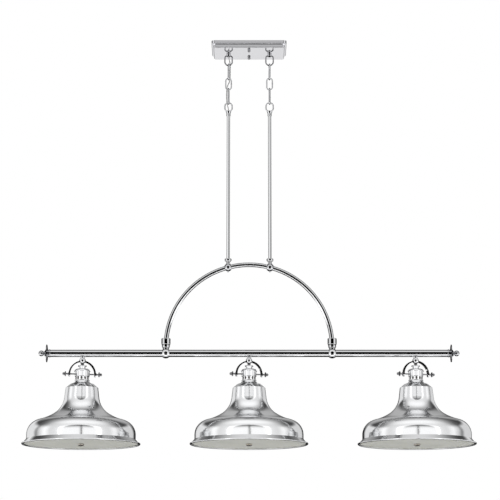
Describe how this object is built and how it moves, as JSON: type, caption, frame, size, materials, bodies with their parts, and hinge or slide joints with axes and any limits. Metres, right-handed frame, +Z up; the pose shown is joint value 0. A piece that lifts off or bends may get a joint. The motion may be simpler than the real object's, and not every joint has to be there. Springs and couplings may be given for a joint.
{
  "type": "ceiling light",
  "caption": "Chrome island pendant light: bell shades in tilting yokes under a long bar, which an arch, rods and short chains hang from a rectangular ceiling canopy.",
  "frame": {"origin": "middle of the canopy's ceiling face, between the two slots for the ceiling box's screws", "axes": "+Z up into the ceiling, +X along the bar, -Y towards a person who stands in front of the light"},
  "size_m": [1.3749, 0.359, 1.2589],
  "materials": {
    "chrome": "polished",
    "zinc_steel": "zinc plated",
    "cord": "clear sheath over silver wire",
    "lead": "wound flexible sleeve",
    "lamp_holder": "glazed",
    "diffuser": "frosted"
  },
  "bodies": {
    "canopy": {"canopy": "chrome", "ceiling_strap": "zinc_steel", "cross_strap": "zinc_steel", "canopy_screws": "zinc_steel", "canopy_knobs": "chrome", "loop_nuts": "zinc_steel", "canopy_loop_left": "chrome", "canopy_loop_right": "chrome", "supply_cord": "cord"},
    "upper_link_left": {"upper_link_left": "chrome"},
    "lower_chain_left": {"middle_link_left": "chrome", "lower_link_left": "chrome"},
    "upper_link_right": {"upper_link_right": "chrome"},
    "lower_chain_right": {"middle_link_right": "chrome", "lower_link_right": "chrome"},
    "frame": {"rod_collars": "chrome", "arch": "chrome", "bar": "chrome", "rod_loop_left": "chrome", "rod_loop_right": "chrome", "rod_left": "chrome", "rod_right": "chrome", "arch_ball_left": "chrome", "arch_ball_right": "chrome", "arch_sleeve_left": "chrome", "arch_sleeve_right": "chrome", "bar_ball_left": "chrome", "bar_ball_right": "chrome", "end_finial_left": "chrome", "end_finial_right": "chrome", "hub_left": "chrome", "hub_centre": "chrome", "hub_right": "chrome", "yoke_left": "chrome", "yoke_centre": "chrome", "yoke_right": "chrome", "lead_left": "lead", "lead_centre": "lead", "lead_right": "lead"},
    "head_left": {"socket_cap_left": "chrome", "thumb_screws_left": "chrome", "shade_left": "chrome", "lamp_holder_left": "lamp_holder", "diffuser_bracket_left": "zinc_steel", "diffuser_left": "diffuser", "diffuser_knob_left": "chrome"},
    "head_centre": {"socket_cap_centre": "chrome", "thumb_screws_centre": "chrome", "shade_centre": "chrome", "lamp_holder_centre": "lamp_holder", "diffuser_bracket_centre": "zinc_steel", "diffuser_centre": "diffuser", "diffuser_knob_centre": "chrome"},
    "head_right": {"socket_cap_right": "chrome", "thumb_screws_right": "chrome", "shade_right": "chrome", "lamp_holder_right": "lamp_holder", "diffuser_bracket_right": "zinc_steel", "diffuser_right": "diffuser", "diffuser_knob_right": "chrome"}
  },
  "joints": [
    {"name": "upper_link_sway_left", "type": "hinge", "parent": "canopy", "child": "upper_link_left", "pos_m": [-0.0645, 0, -0.0568], "axis": [0, 1, 0], "range_deg": [-20, 20], "deforming": ["supply_cord"]},
    {"name": "middle_link_swing_left", "type": "hinge", "parent": "upper_link_left", "child": "lower_chain_left", "pos_m": [-0.0645, 0, -0.1032], "axis": [1, 0, 0], "range_deg": [-20, 20], "deforming": ["supply_cord"]},
    {"name": "upper_link_sway_right", "type": "hinge", "parent": "canopy", "child": "upper_link_right", "pos_m": [0.0645, 0, -0.0568], "axis": [0, 1, 0], "range_deg": [-20, 20]},
    {"name": "middle_link_swing_right", "type": "hinge", "parent": "upper_link_right", "child": "lower_chain_right", "pos_m": [0.0645, 0, -0.1032], "axis": [1, 0, 0], "range_deg": [-20, 20]},
    {"name": "frame_sway", "type": "hinge", "parent": "lower_chain_left", "child": "frame", "pos_m": [-0.0645, 0, -0.18705], "axis": [0, 1, 0], "range_deg": [-20, 20], "deforming": ["supply_cord"]},
    {"name": "shade_tilt_left", "type": "hinge", "parent": "frame", "child": "head_left", "pos_m": [-0.508, 0, -1.0399], "axis": [0.9659, 0.2588, 0], "range_deg": [-15, 15], "deforming": ["lead_left"]},
    {"name": "shade_tilt_centre", "type": "hinge", "parent": "frame", "child": "head_centre", "pos_m": [0, 0, -1.0399], "axis": [0.9659, 0.2588, 0], "range_deg": [-15, 15], "deforming": ["lead_centre"]},
    {"name": "shade_tilt_right", "type": "hinge", "parent": "frame", "child": "head_right", "pos_m": [0.508, 0, -1.0399], "axis": [0.9659, 0.2588, 0], "range_deg": [-15, 15], "deforming": ["lead_right"]}
  ],
  "couplings": [
    {"joint": "upper_link_sway_left", "follows": "frame_sway", "ratio": -1},
    {"joint": "upper_link_sway_right", "follows": "frame_sway", "ratio": -1},
    {"joint": "middle_link_swing_right", "follows": "middle_link_swing_left", "ratio": 1}
  ]
}
